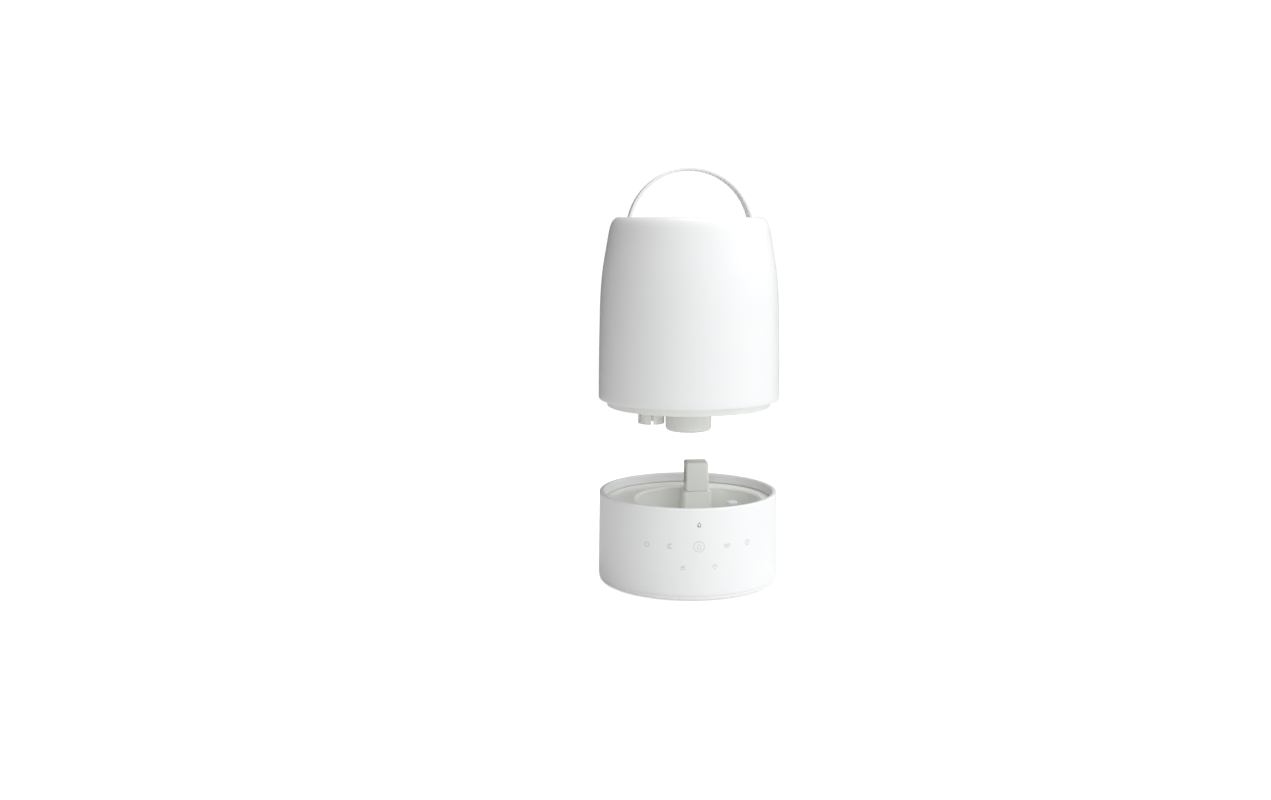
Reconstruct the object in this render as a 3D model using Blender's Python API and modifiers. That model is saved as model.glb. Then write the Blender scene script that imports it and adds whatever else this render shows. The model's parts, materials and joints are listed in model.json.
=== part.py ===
"""Cool mist humidifier: a water tank that lifts off an ultrasonic base.

Every number below is in millimetres and the helpers scale it to metres. The origin is the
centre of the resting face under the four feet, +Z is up and the touch panel faces -Y.
The tank stands lifted clear of the base; it seats when it comes down by TANK_LIFT.
"""

import math

import bmesh
import bpy
from mathutils import Matrix, Vector

MM = 0.001
GAP = 0.3

# Base
BASE_R = 82.0
FOOT_R = 83.0
BASE_TOP = 83.0
SHELL_BOTTOM = 5.3
SHELL_INNER_R = 79.5
RIM_INNER_R = 77.0
DECK_Z = 74.0
BASIN_AT = (9.0, 0.0)
BASIN_R = 57.6
BASIN_FLOOR = 45.0
WALL = 2.5
WELL_AT = (-34.0, 5.0)
WELL_R = 14.0
WELL_FLOOR = 25.0
WELL_UNDERSIDE = 20.0
TOWER_AT = (13.0, 44.0)
TOWER_SIDE = 22.0
TOWER_TOP = 101.0
FLOAT_AT = (44.0, 19.0)
FAN_AT = (13.0, 10.0)
JACK_Z = 18.0
SCREW_RING_R = 72.0
FOOT_RING_R = 64.0
PIN_TOP = 53.5

# Tank, heights measured from its bottom edge
TANK_LIFT = 85.4
TANK_Z = BASE_TOP + GAP + TANK_LIFT
TANK_H = 164.0
SHOULDER_Z = 150.0
COLLAR_R = 17.0
RECESS_R = 62.0
RECESS_FLOOR = 140.0
HANDLE_R = 57.0
HANDLE_Z = TANK_H - 13.0
HANDLE_HALF_WIDTH = 10.0
HANDLE_THICK = 2.6
FLOOR_UNDER = 19.0
FLOOR_TOP = 21.5
CAP_R = 21.2
CAP_BOTTOM = -30.0
TANK_OUTLINE = [
    (82.5, 0.0), (82.2, 31.0), (81.6, 62.0), (80.7, 92.0), (78.8, 115.0), (75.8, 134.0),
    (72.6, 152.0), (71.4, 156.5), (69.9, 159.8), (68.0, 162.2), (65.9, 163.6), (64.0, 164.0),
]

ROUND = 40
SMALL_ROUND = 16

COLOURS = {
    "white_plastic": (0.86, 0.87, 0.87, 1.0),
    "grey_plastic": (0.52, 0.54, 0.55, 1.0),
    "rubber": (0.12, 0.12, 0.12, 1.0),
    "steel": (0.60, 0.60, 0.62, 1.0),
    "aluminium": (0.72, 0.73, 0.75, 1.0),
    "board": (0.05, 0.22, 0.10, 1.0),
    "ceramic": (0.80, 0.78, 0.70, 1.0),
    "magnet": (0.20, 0.20, 0.22, 1.0),
    "wire": (0.35, 0.05, 0.04, 1.0),
}


def clear_scene():
    for obj in list(bpy.data.objects):
        bpy.data.objects.remove(obj, do_unlink=True)


def new_collection(name):
    found = bpy.data.collections.new(name)
    bpy.context.scene.collection.children.link(found)
    return found


clear_scene()
PARTS = new_collection("cool_mist_humidifier")
TOOLS = new_collection("cutting_tools")


def new_empty(name, at, parent=None):
    empty = bpy.data.objects.new(name, None)
    empty.empty_display_size = 0.02
    empty.location = Vector(at) * MM
    empty.parent = parent
    PARTS.objects.link(empty)
    return empty


BASE = new_empty("base_frame", (0.0, 0.0, 0.0))
TANK = new_empty("tank_frame", (0.0, 0.0, TANK_Z), BASE)
PIVOT = new_empty("handle_axis", (0.0, 0.0, HANDLE_Z), TANK)


def new_object(name, mesh, tool=False, at=(0.0, 0.0, 0.0)):
    """Links one object among the parts or among the tools, shaded smooth but for its edges."""
    mesh.shade_smooth()
    mesh.set_sharp_from_angle(angle=math.radians(30.0))
    obj = bpy.data.objects.new(name, mesh)
    obj.location = Vector(at) * MM
    (TOOLS if tool else PARTS).objects.link(obj)
    if tool:
        obj.hide_render = True
        obj.display_type = "WIRE"
    return obj


def evaluated_mesh(guide):
    """The mesh that a guide object's modifiers or curve settings make. The guide is removed."""
    TOOLS.objects.link(guide)
    bpy.context.view_layer.update()
    mesh = bpy.data.meshes.new_from_object(
        guide.evaluated_get(bpy.context.evaluated_depsgraph_get()))
    bpy.data.objects.remove(guide, do_unlink=True)
    shape = bmesh.new()
    shape.from_mesh(mesh)
    bmesh.ops.remove_doubles(shape, verts=shape.verts, dist=0.000005)
    bmesh.ops.recalc_face_normals(shape, faces=shape.faces)
    shape.to_mesh(mesh)
    shape.free()
    return mesh


def paint(obj, colour, rough=0.5, metal=0.0, parent=BASE):
    """Gives a part its own material and hangs it on its frame."""
    mat = bpy.data.materials.new(obj.name + "_material")
    mat.use_nodes = True
    shader = mat.node_tree.nodes["Principled BSDF"]
    shader.inputs["Base Color"].default_value = COLOURS[colour]
    shader.inputs["Roughness"].default_value = rough
    shader.inputs["Metallic"].default_value = metal
    mat.diffuse_color = COLOURS[colour]
    obj.data.materials.append(mat)
    obj.parent = parent
    return obj


def boolean(obj, tool, kind):
    """One Boolean step. The tool hangs on the same frame as the part that it shapes."""
    tool.parent = obj.parent
    step = obj.modifiers.new(tool.name, "BOOLEAN")
    step.operation = kind
    step.solver = "EXACT"
    step.object = tool


def cut(obj, *tools):
    for tool in tools:
        boolean(obj, tool, "DIFFERENCE")


def join(obj, *tools):
    for tool in tools:
        boolean(obj, tool, "UNION")


def box(name, low, high, tool=False, pivot=None):
    """A cube primitive stretched between two corners. Its origin is its centre or the pivot."""
    middle = [(a + b) / 2.0 for a, b in zip(low, high, strict=True)]
    at = Vector(middle if pivot is None else pivot)
    size = [(b - a) * MM for a, b in zip(low, high, strict=True)]
    shape = bmesh.new()
    bmesh.ops.create_cube(shape, size=1.0, matrix=Matrix.Diagonal((*size, 1.0)))
    if pivot is not None:
        bmesh.ops.translate(shape, verts=shape.verts, vec=Vector(middle) * MM)
    mesh = bpy.data.meshes.new(name)
    shape.to_mesh(mesh)
    shape.free()
    return new_object(name, mesh, tool, at)


def rod(name, radius, low, high, at=(0.0, 0.0), segments=SMALL_ROUND, tool=True):
    """A cylinder primitive from low to high. Its origin is on its axis, at height 0."""
    shape = bmesh.new()
    bmesh.ops.create_cone(
        shape, cap_ends=True, segments=segments, radius1=radius * MM, radius2=radius * MM,
        depth=(high - low) * MM, matrix=Matrix.Translation((0.0, 0.0, (low + high) / 2.0 * MM)))
    mesh = bpy.data.meshes.new(name)
    shape.to_mesh(mesh)
    shape.free()
    return new_object(name, mesh, tool, (*at, 0.0))


def lathe(name, profile, at=(0.0, 0.0), segments=ROUND, tool=False):
    """Turns a profile of (radius, height) points about +Z with a Screw modifier.

    A profile that starts and ends on the axis closes there. Any other one is a closed loop.
    """
    solid = profile[0][0] == 0.0 and profile[-1][0] == 0.0
    pairs = zip(profile, profile[1:] + profile[:1], strict=True)
    if sum(r1 * z2 - r2 * z1 for (r1, z1), (r2, z2) in pairs) > 0.0:
        profile = profile[::-1]
    count = len(profile)
    edges = [(i, i + 1) for i in range(count - 1)] + ([] if solid else [(count - 1, 0)])
    mesh = bpy.data.meshes.new(name + "_profile")
    mesh.from_pydata([(r * MM, 0.0, z * MM) for r, z in profile], edges, [])
    guide = bpy.data.objects.new(name + "_profile", mesh)
    turn = guide.modifiers.new("turn", "SCREW")
    turn.axis = "Z"
    turn.angle = 2.0 * math.pi
    turn.steps = turn.render_steps = segments
    turn.use_merge_vertices = True
    turn.merge_threshold = 0.00001
    turned = evaluated_mesh(guide)
    turned.name = name
    return new_object(name, turned, tool, (*at, 0.0))


def ring(name, inner, outer, low, high, at=(0.0, 0.0), segments=SMALL_ROUND, tool=False):
    profile = [(inner, low), (outer, low), (outer, high), (inner, high)]
    return lathe(name, profile, at, segments, tool)


def rounded_square(side, corner, at, steps=4):
    """The outline of a square with round corners."""
    inset = side / 2.0 - corner
    points = []
    for quarter, (sx, sy) in enumerate([(1, 1), (-1, 1), (-1, -1), (1, -1)]):
        for i in range(steps + 1):
            a = (quarter + i / steps) * math.pi / 2.0
            points.append((
                at[0] + sx * inset + corner * math.cos(a),
                at[1] + sy * inset + corner * math.sin(a),
            ))
    return points


def arc_outline(inner, outer, start, stop, steps):
    """The outline of part of a ring, between two angles in degrees."""
    turn = [math.radians(start + (stop - start) * i / steps) for i in range(steps + 1)]
    points = [(outer * math.cos(a), outer * math.sin(a)) for a in turn]
    return points + [(inner * math.cos(a), inner * math.sin(a)) for a in reversed(turn)]


def new_curve(name, dimensions, points, closed):
    """A poly curve through points in millimetres."""
    curve = bpy.data.curves.new(name, "CURVE")
    curve.dimensions = dimensions
    line = curve.splines.new("POLY")
    line.points.add(len(points) - 1)
    for point, (x, y, z) in zip(line.points, points, strict=True):
        point.co = (x * MM, y * MM, z * MM, 1.0)
    line.use_cyclic_u = closed
    return curve


def slab(name, outline, low, high, tool=False):
    """A flat outline in plan, filled as a 2D curve and extruded from low to high."""
    curve = new_curve(name + "_outline", "2D", [(x, y, 0.0) for x, y in outline], True)
    curve.fill_mode = "BOTH"
    curve.extrude = (high - low) / 2.0 * MM
    mesh = evaluated_mesh(bpy.data.objects.new(name + "_outline", curve))
    mesh.name = name
    return new_object(name, mesh, tool, (0.0, 0.0, (low + high) / 2.0))


def bar(name, path, radius, resolution=2, tool=False):
    """A round bar along a path: a curve with a bevel and filled caps."""
    curve = new_curve(name + "_path", "3D", path, False)
    curve.bevel_depth = radius * MM
    curve.bevel_resolution = resolution
    curve.use_fill_caps = True
    mesh = evaluated_mesh(bpy.data.objects.new(name + "_path", curve))
    mesh.name = name
    return new_object(name, mesh, tool)


def lay_along(obj, direction, at):
    """Turns an object whose axis is +Z to lie along direction, with its origin at a point."""
    obj.rotation_mode = "QUATERNION"
    obj.rotation_quaternion = Vector((0, 0, 1)).rotation_difference(Vector(direction))
    obj.location = Vector(at) * MM
    return obj


def spun(obj, degrees, at=(0.0, 0.0, 0.0)):
    """Turns an object about +Z, with its origin at a point."""
    obj.rotation_euler = (0.0, 0.0, math.radians(degrees))
    obj.location = Vector(at) * MM
    return obj


def ring_places(radius, start, count=4):
    """Places spaced evenly round the base's axis."""
    turn = 2.0 * math.pi / count
    return [
        (radius * math.cos(start + i * turn), radius * math.sin(start + i * turn))
        for i in range(count)
    ]


SCREWS_AT = ring_places(SCREW_RING_R, math.pi / 4.0)
FEET_AT = ring_places(FOOT_RING_R, 0.0)


def make_base_shell():
    """The outer wall, a little wider at its foot than at its rim."""
    profile = [
        (SHELL_INNER_R, SHELL_BOTTOM), (FOOT_R - 1.2, SHELL_BOTTOM), (FOOT_R - 0.4, 5.9),
        (FOOT_R, 7.0), (BASE_R, 81.2), (81.5, 82.4), (80.4, BASE_TOP), (78.4, BASE_TOP),
        (77.4, 82.4), (RIM_INNER_R, 81.4), (RIM_INNER_R, 75.2), (77.9, DECK_Z + GAP),
        (SHELL_INNER_R, DECK_Z + GAP),
    ]
    shell = paint(lathe("base_shell", profile), "white_plastic", 0.35)
    hole = rod("jack_hole", 4.4, 0.0, 10.0)
    cut(shell, lay_along(hole, (0, 1, 0), (0.0, 75.0, JACK_Z)))


def make_deck():
    """The ring of deck round the water basin, with the four screw bosses under it."""
    deck = rod("deck", 79.2, DECK_Z - WALL, DECK_Z, segments=ROUND, tool=False)
    paint(deck, "white_plastic", 0.35)
    for i, at in enumerate(SCREWS_AT):
        join(deck, rod(f"screw_boss_{i}", 4.0, 5.5, 72.5, at, 12))
    cut(deck, rod("basin_hole", BASIN_R + WALL + GAP, 60.0, 90.0, BASIN_AT, ROUND))
    for i, at in enumerate(SCREWS_AT):
        cut(deck, rod(f"boss_bore_{i}", 1.5, 3.0, 20.0, at, 12))


def make_basin():
    """The water basin, with holes in its floor for the well and for the air duct."""
    basin = rod("basin", BASIN_R + WALL, BASIN_FLOOR - WALL, DECK_Z, BASIN_AT, ROUND, tool=False)
    paint(basin, "white_plastic", 0.35)
    cut(
        basin,
        rod("cup_inside", BASIN_R, BASIN_FLOOR, 90.0, BASIN_AT, ROUND),
        rod("well_mouth", WELL_R, 30.0, 60.0, WELL_AT, 24),
        slab("duct_mouth", rounded_square(18.4, 2.0, TOWER_AT), 40.0, 50.0, True),
    )


def make_well():
    """The well that holds water over the transducer."""
    top = BASIN_FLOOR - WALL - GAP
    well = rod("transducer_well", WELL_R + WALL, WELL_UNDERSIDE, top, WELL_AT, 24, tool=False)
    paint(well, "white_plastic", 0.35)
    cut(
        well,
        rod("well_inside", WELL_R, WELL_FLOOR, 60.0, WELL_AT, 24),
        rod("transducer_hole", 8.0, 15.0, 30.0, WELL_AT),
        rod("transducer_seat", 12.3, 15.0, 22.7, WELL_AT),
    )
    for i, side in enumerate((-1, 1)):
        cut(well, rod(f"pilot_{i}", 1.3, 15.0, 23.8, (WELL_AT[0], WELL_AT[1] + side * 14.2), 12))


def make_basin_posts():
    """What stands on the basin's floor: the tower's stub, the valve pin and the float's post."""
    low = BASIN_FLOOR + GAP
    stub = slab("tower_stub", rounded_square(27.0, 3.0, TOWER_AT), low, DECK_Z - 0.4)
    paint(stub, "white_plastic", 0.35)
    limit = rod("stub_limit", BASIN_R - GAP, 30.0, 90.0, BASIN_AT, ROUND)
    boolean(stub, limit, "INTERSECT")
    cut(stub, slab("stub_bore", rounded_square(20.4, 1.8, TOWER_AT), 40.0, 80.0, True))
    pin = [(0.0, low), (5.0, low), (5.0, 47.0), (2.5, 47.0), (2.5, PIN_TOP), (0.0, PIN_TOP)]
    paint(lathe("valve_pin", pin, segments=SMALL_ROUND), "white_plastic", 0.35)
    post = [(0.0, low), (5.0, low), (5.0, 46.4), (2.5, 46.4), (2.5, 64.6), (0.0, 64.6)]
    paint(lathe("float_post", post, FLOAT_AT, SMALL_ROUND), "white_plastic", 0.35)


def make_bottom_cover():
    profile = [
        (0.0, 1.0), (81.2, 1.0), (82.2, 1.9), (82.2, 4.4), (81.4, 5.0), (78.6, 5.0),
        (78.2, 4.0), (0.0, 4.0),
    ]
    cover = paint(lathe("bottom_cover", profile), "white_plastic", 0.45)
    for i, at in enumerate(SCREWS_AT):
        cut(cover, rod(f"screw_hole_{i}", 1.7, 0.0, 6.0, at, 12))
        cut(cover, rod(f"screw_head_seat_{i}", 3.6, 0.0, 2.6, at, 16))
    for i, at in enumerate(FEET_AT):
        cut(cover, rod(f"foot_seat_{i}", 7.3, 0.0, 2.5, at))
    for i, away in enumerate((-10.0, -5.0, 0.0, 5.0, 10.0)):
        half = math.sqrt(14.0**2 - away**2)
        low = (FAN_AT[0] - half, FAN_AT[1] + away - 1.2, 0.0)
        high = (FAN_AT[0] + half, FAN_AT[1] + away + 1.2, 6.0)
        cut(cover, box(f"intake_slot_{i}", low, high, True))


def make_feet_and_screws():
    for i, at in enumerate(FEET_AT):
        profile = [(0.0, 0.0), (6.6, 0.0), (7.0, 0.4), (7.0, 2.2), (0.0, 2.2)]
        paint(lathe(f"rubber_foot_{i + 1}", profile, at, SMALL_ROUND), "rubber", 0.9)
    for i, at in enumerate(SCREWS_AT):
        profile = [(0.0, 1.1), (2.9, 1.1), (3.2, 1.4), (3.2, 2.3), (1.2, 2.3), (1.2, 15.0),
                   (0.0, 15.6)]
        paint(lathe(f"cover_screw_{i + 1}", profile, at, 12), "steel", 0.3, 1.0)


def make_tower_cover():
    """The chimney that turns the fan's air sideways over the basin."""
    tower = slab("tower_cover", rounded_square(TOWER_SIDE, 2.4, TOWER_AT), DECK_Z, TOWER_TOP)
    paint(tower, "white_plastic", 0.35)
    join(tower, slab("tower_spigot", rounded_square(19.6, 1.8, TOWER_AT), 66.0, 76.0, True))
    cut(tower, slab("tower_bore", rounded_square(16.8, 1.2, TOWER_AT), 60.0, 98.6, True))
    x, y = TOWER_AT
    window = ((x - 12.0, y - 6.6, 79.0), (x - 5.0, y + 6.6, 95.0))
    cut(tower, box("air_outlet", *window, True))


def make_transducer():
    x, y = WELL_AT
    disc = lathe("transducer_disc", [(0.0, 20.4), (10.1, 20.4), (10.1, 21.3), (0.0, 21.3)],
                 WELL_AT, SMALL_ROUND)
    paint(disc, "ceramic", 0.3)
    seal = [(10.4, 20.3), (12.0, 20.3), (12.0, 22.4), (8.3, 22.4), (8.3, 21.6), (10.4, 21.6)]
    paint(lathe("transducer_seal", seal, WELL_AT, SMALL_ROUND), "rubber", 0.9)
    plate = [(7.0, 17.2), (16.4, 17.2), (16.4, 19.7), (9.8, 19.7), (9.8, 20.1), (7.0, 20.1)]
    plate = paint(lathe("transducer_retainer", plate, WELL_AT, SMALL_ROUND), "aluminium", 0.4, 1.0)
    for i, side in enumerate((-1, 1)):
        at = (x, y + side * 14.2)
        hole = rod(f"retainer_hole_{i}", 1.4, 15.0, 22.0, segments=12)
        cut(plate, spun(hole, 15.0, (*at, 0.0)))
        profile = [(0.0, 15.4), (2.0, 15.4), (2.2, 15.6), (2.2, 16.9), (1.0, 16.9),
                   (1.0, 23.0), (0.0, 23.4)]
        screw = lathe(f"transducer_screw_{i + 1}", profile, at, 12)
        paint(screw, "steel", 0.3, 1.0)


def make_fan():
    """The blower under the basin, its rotor and the duct that carries its air up."""
    x, y = FAN_AT
    housing = box("fan_housing", (x - 22.0, y - 22.0, 6.4), (x + 22.0, y + 22.0, 24.0))
    paint(housing, "grey_plastic", 0.5)
    cut(
        housing,
        rod("fan_chamber", 19.5, 8.0, 22.4, FAN_AT, 32),
        rod("fan_inlet", 12.0, 5.0, 9.0, FAN_AT),
        box("fan_outlet", (3.6, 20.0, 9.0), (22.4, 33.0, 21.4), True),
    )
    motor = [(0.0, 12.0), (6.3, 12.0), (6.3, 22.1), (0.0, 22.1)]
    paint(lathe("fan_motor", motor, FAN_AT, SMALL_ROUND), "steel", 0.35, 1.0)
    wheel = [(0.0, 10.0), (8.3, 10.0), (8.3, 19.3), (17.8, 19.3), (17.8, 20.5), (6.9, 20.5),
             (6.9, 11.2), (0.0, 11.2)]
    rotor = paint(lathe("fan_rotor", wheel, FAN_AT, 24), "grey_plastic", 0.5)
    for i in range(12):
        blade = box(f"fan_blade_{i}", (11.5, -0.6, 9.6), (17.4, 0.6, 19.8), True, (0, 0, 0))
        join(rotor, spun(blade, 30.0 * i, (x, y, 0.0)))
    duct = box("air_duct", (2.0, 32.3, 7.4), (24.0, 55.0, 42.2))
    paint(duct, "grey_plastic", 0.5)
    cut(
        duct,
        box("duct_riser", (3.6, 33.9, 9.0), (22.4, 53.4, 50.0), True),
        box("duct_mouth", (3.6, 30.0, 9.0), (22.4, 36.0, 21.4), True),
    )


def make_boards():
    driver = box("driver_board", (-34.0, -64.0, 8.6), (34.0, -26.0, 10.2))
    paint(driver, "board", 0.5)
    for i, (cx, cy, r, top) in enumerate([(16.0, -54.0, 4.0, 24.0), (27.0, -54.0, 4.0, 24.0),
                                          (20.0, -38.0, 7.0, 19.0)]):
        join(driver, rod(f"driver_component_{i}", r, 9.4, top, (cx, cy), 16))
    join(driver, box("driver_socket", (-30.5, -62.0, 9.4), (-28.0, -50.0, 16.0), True))
    sink = box("heat_sink", (-26.0, -58.0, 10.5), (-6.0, -36.0, 25.0))
    paint(sink, "aluminium", 0.4, 1.0)
    for i in range(4):
        left = -26.0 + 1.6 + i * 4.6
        cut(sink, box(f"fin_gap_{i}", (left, -60.0, 12.6), (left + 3.0, -34.0, 30.0), True))
    power = box("power_board", (-44.0, 30.0, 8.6), (-12.0, 60.0, 10.2))
    paint(power, "board", 0.5)
    join(
        power,
        rod("power_capacitor", 5.0, 9.4, 25.0, (-36.0, 38.0), 16),
        box("power_choke", (-27.0, 34.0, 9.4), (-16.0, 45.0, 20.0), True),
    )
    outline = arc_outline(77.6, 79.0, -128.0, -52.0, 24)
    paint(slab("touch_board", outline, 24.0, 56.0), "board", 0.5)


def make_jack():
    jack = box("power_jack", (-5.5, 62.0, 12.0), (5.5, 76.5, 24.0))
    paint(jack, "rubber", 0.4)
    barrel = rod("jack_barrel", 4.0, 0.0, 7.0)
    join(jack, lay_along(barrel, (0, 1, 0), (0.0, 74.5, JACK_Z)))
    bore = ring("jack_bore", 0.9, 2.8, 0.0, 14.0, segments=16, tool=True)
    cut(jack, lay_along(bore, (0, 1, 0), (0.0, 70.0, JACK_Z)))


def make_float():
    body = [(3.1, 47.0), (4.3, 47.0), (4.3, 50.0), (7.3, 50.0), (7.3, 47.0), (8.6, 47.0),
            (9.0, 47.4), (9.0, 56.4), (8.4, 57.0), (3.1, 57.0)]
    paint(lathe("float", body, FLOAT_AT, SMALL_ROUND), "white_plastic", 0.5)
    paint(ring("float_magnet", 4.6, 7.0, 47.2, 49.7, FLOAT_AT), "magnet", 0.4)
    top = [(0.0, 66.8), (4.2, 66.6), (5.5, 65.6), (5.5, 63.6), (2.8, 63.6), (2.8, 64.9),
           (0.0, 64.9)]
    paint(lathe("float_retainer", top, FLOAT_AT, SMALL_ROUND), "white_plastic", 0.4)
    switch = box("level_switch", (39.5, 16.0, 38.4), (48.5, 22.0, 42.2))
    paint(switch, "rubber", 0.5)


def make_leads():
    paths = {
        "transducer_lead": [(-34, 5, 19.8), (-34, 4.4, 15.5), (-34, 2, 13.2), (-34, -2, 12.4),
                            (-33, -24, 12.4), (-33, -28, 12.0), (-33, -31, 11.8)],
        "fan_lead": [(-10.6, -4, 19), (-11.8, -5, 18), (-13, -9, 15), (-13.5, -16, 12.6),
                     (-13.5, -24, 12.0), (-13.5, -31, 11.8)],
        "jack_lead": [(0, 61.6, 18), (-0.6, 60, 17.4), (-3, 58, 15.0), (-8, 56, 12.6),
                      (-13, 55, 11.9), (-18, 54, 11.8)],
        "touch_lead": [(3, -76.0, 27), (3, -75.0, 25), (3, -72, 18), (3, -67, 13.0),
                       (3, -62, 11.8), (3, -57, 11.8)],
    }
    for name, path in paths.items():
        paint(bar(name, path, 1.1), "wire", 0.6)


def make_tank_shell():
    """The outer wall, up to the shoulder."""
    under = [
        (80.3, 0.0), (79.4, 62.0), (78.5, 92.0), (76.4, 115.0), (73.4, 134.0),
        (70.6, SHOULDER_Z),
    ]
    wall = [(72.9, SHOULDER_Z)] + TANK_OUTLINE[5::-1]
    paint(lathe("tank_shell", wall + under), "white_plastic", 0.3, parent=TANK)


def make_tank_shoulder():
    """The solid shoulder and the recess's wall, with the bosses for the handle's pins."""
    low = SHOULDER_Z + GAP
    inside = [(64.2, low), (64.2, RECESS_FLOOR + GAP), (RECESS_R, RECESS_FLOOR + GAP),
              (RECESS_R, 162.2), (62.6, 163.5)]
    profile = inside + TANK_OUTLINE[:5:-1] + [(72.9, low)]
    shell = paint(lathe("tank_shoulder", profile), "white_plastic", 0.3, parent=TANK)
    for name, side in (("left", -1), ("right", 1)):
        boss = rod(f"pin_boss_{name}", 6.5, 57.6, 63.0)
        join(shell, lay_along(boss, (side, 0, 0), (0.0, 0.0, HANDLE_Z)))
    for name, side in (("left", -1), ("right", 1)):
        bore = rod(f"pin_bore_{name}", 2.8, 50.0, 61.9)
        cut(shell, lay_along(bore, (side, 0, 0), (0.0, 0.0, HANDLE_Z)))


def make_recess():
    """The floor of the recess in the tank's top, and the collar for the nozzle."""
    under = RECESS_FLOOR - 2.2
    floor = ring("recess_floor", COLLAR_R + GAP, 64.2, under, RECESS_FLOOR, segments=ROUND)
    paint(floor, "white_plastic", 0.3, parent=TANK)
    collar = ring("nozzle_collar", 14.5, COLLAR_R, under, 148.0, segments=ROUND)
    paint(collar, "white_plastic", 0.3, parent=TANK)


def make_tank_floor():
    """The closed bottom of the tank, with the socket for the duct."""
    profile = [(15.5, FLOOR_UNDER), (74.7, FLOOR_UNDER), (74.7, FLOOR_TOP), (15.5, FLOOR_TOP)]
    floor = paint(lathe("tank_floor", profile), "white_plastic", 0.35, parent=TANK)
    join(floor, rod("duct_socket", 14.6, 20.0, 28.0, WELL_AT, 24))
    cut(floor, rod("duct_hole", 12.3, 10.0, 40.0, WELL_AT, 24))


def make_plug_ring():
    """The ring that drops inside the base's rim, and the flange from it to the tank's wall."""
    top = FLOOR_UNDER - GAP
    profile = [
        (72.2, top), (72.2, -6.0), (72.7, -6.5), (74.2, -6.5), (74.7, -6.0), (74.7, top),
    ]
    paint(lathe("plug_ring", profile), "white_plastic", 0.35, parent=TANK)
    flange = ring("seat_flange", 74.7 + GAP, 80.0, 0.5, 3.0, segments=ROUND)
    paint(flange, "white_plastic", 0.35, parent=TANK)


def make_filler_neck():
    """The neck that the tank is filled through, with ridges for the cap's thread."""
    profile = [(15.5, -25.2), (17.5, -25.2)]
    for low in (-21.5, -16.5):
        profile += [(17.5, low), (18.2, low + 1.0), (17.5, low + 2.0)]
    profile += [(17.5, FLOOR_UNDER - GAP), (15.5, FLOOR_UNDER - GAP)]
    paint(lathe("filler_neck", profile, segments=32), "white_plastic", 0.35, parent=TANK)


def make_mist_path():
    """The duct that carries mist up through the tank, and the slotted skirt below it."""
    x, y = WELL_AT
    bends = [(x, y, 36), (0.93 * x, 0.93 * y, 45), (0.07 * x, 0.07 * y, 109), (0, 0, 118)]
    duct = bar("mist_duct", [(x, y, 19.3)] + bends + [(0, 0, 143.0)], 12.0, 6)
    paint(duct, "white_plastic", 0.4, parent=TANK)
    cut(duct, bar("duct_passage", [(x, y, 15.0)] + bends + [(0, 0, 150.0)], 10.5, 6, tool=True))
    paint(ring("duct_seal", 12.3, 14.2, 138.0, 142.0), "rubber", 0.9, parent=TANK)
    profile = [(10.6, -24.0), (12.25, -24.0), (12.25, 17.3), (15.0, 17.3), (15.0, 18.7),
               (10.6, 18.7)]
    skirt = lathe("mist_skirt", profile, WELL_AT, 24)
    paint(skirt, "white_plastic", 0.4, parent=TANK)
    for i in range(3):
        slot = box(f"skirt_slot_{i}", (-20.0, -1.0, -30.0), (20.0, 1.0, -13.0), True, (0, 0, 0))
        cut(skirt, spun(slot, 30.0 + 60.0 * i, (x, y, 0.0)))


def make_handle():
    """A flat strap bent into a half ring about its pivots, with round ends."""
    half, edge = HANDLE_HALF_WIDTH, 0.6
    inner, outer = HANDLE_R - HANDLE_THICK, HANDLE_R
    verts = []

    def section(direction, drop, width):
        """One cut across the strap, wider than the chamfer on its edges."""
        for radius, y in ((inner, -width + edge), (inner + edge, -width), (outer - edge, -width),
                          (outer, -width + edge), (outer, width - edge), (outer - edge, width),
                          (inner + edge, width), (inner, width - edge)):
            verts.append((radius * direction[0] * MM, y * MM,
                          (radius * direction[1] - drop) * MM))

    ends = [math.radians(a) for a in (75.0, 60.0, 42.0, 22.0)]
    for a in ends:
        section((1.0, 0.0), half * math.sin(a), half * math.cos(a))
    for i in range(31):
        a = math.pi * i / 30
        section((math.cos(a), math.sin(a)), 0.0, half)
    for a in reversed(ends):
        section((-1.0, 0.0), half * math.sin(a), half * math.cos(a))
    rows = len(verts) // 8
    faces = [tuple(range(8)), tuple((rows - 1) * 8 + i for i in range(8))]
    for row in range(rows - 1):
        a, b = row * 8, row * 8 + 8
        faces += [(a + i, a + (i + 1) % 8, b + (i + 1) % 8, b + i) for i in range(8)]
    mesh = bpy.data.meshes.new("handle")
    mesh.from_pydata(verts, [], faces)
    shape = bmesh.new()
    shape.from_mesh(mesh)
    bmesh.ops.recalc_face_normals(shape, faces=shape.faces)
    shape.to_mesh(mesh)
    shape.free()
    handle = paint(new_object("handle", mesh), "white_plastic", 0.35, parent=PIVOT)
    cut(handle, lay_along(rod("handle_bores", 2.8, -65.0, 65.0), (1, 0, 0), (0.0, 0.0, 0.0)))


def make_handle_pins():
    for name, side in (("left", -1), ("right", 1)):
        profile = [(0.0, 51.4), (4.1, 51.4), (4.5, 51.8), (4.5, 53.6), (2.4, 53.6),
                   (2.4, 61.2), (0.0, 61.5)]
        pin = lathe(f"handle_pin_{name}", profile, segments=SMALL_ROUND)
        lay_along(pin, (side, 0, 0), (0.0, 0.0, HANDLE_Z))
        paint(pin, "steel", 0.3, 1.0, TANK)


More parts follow.
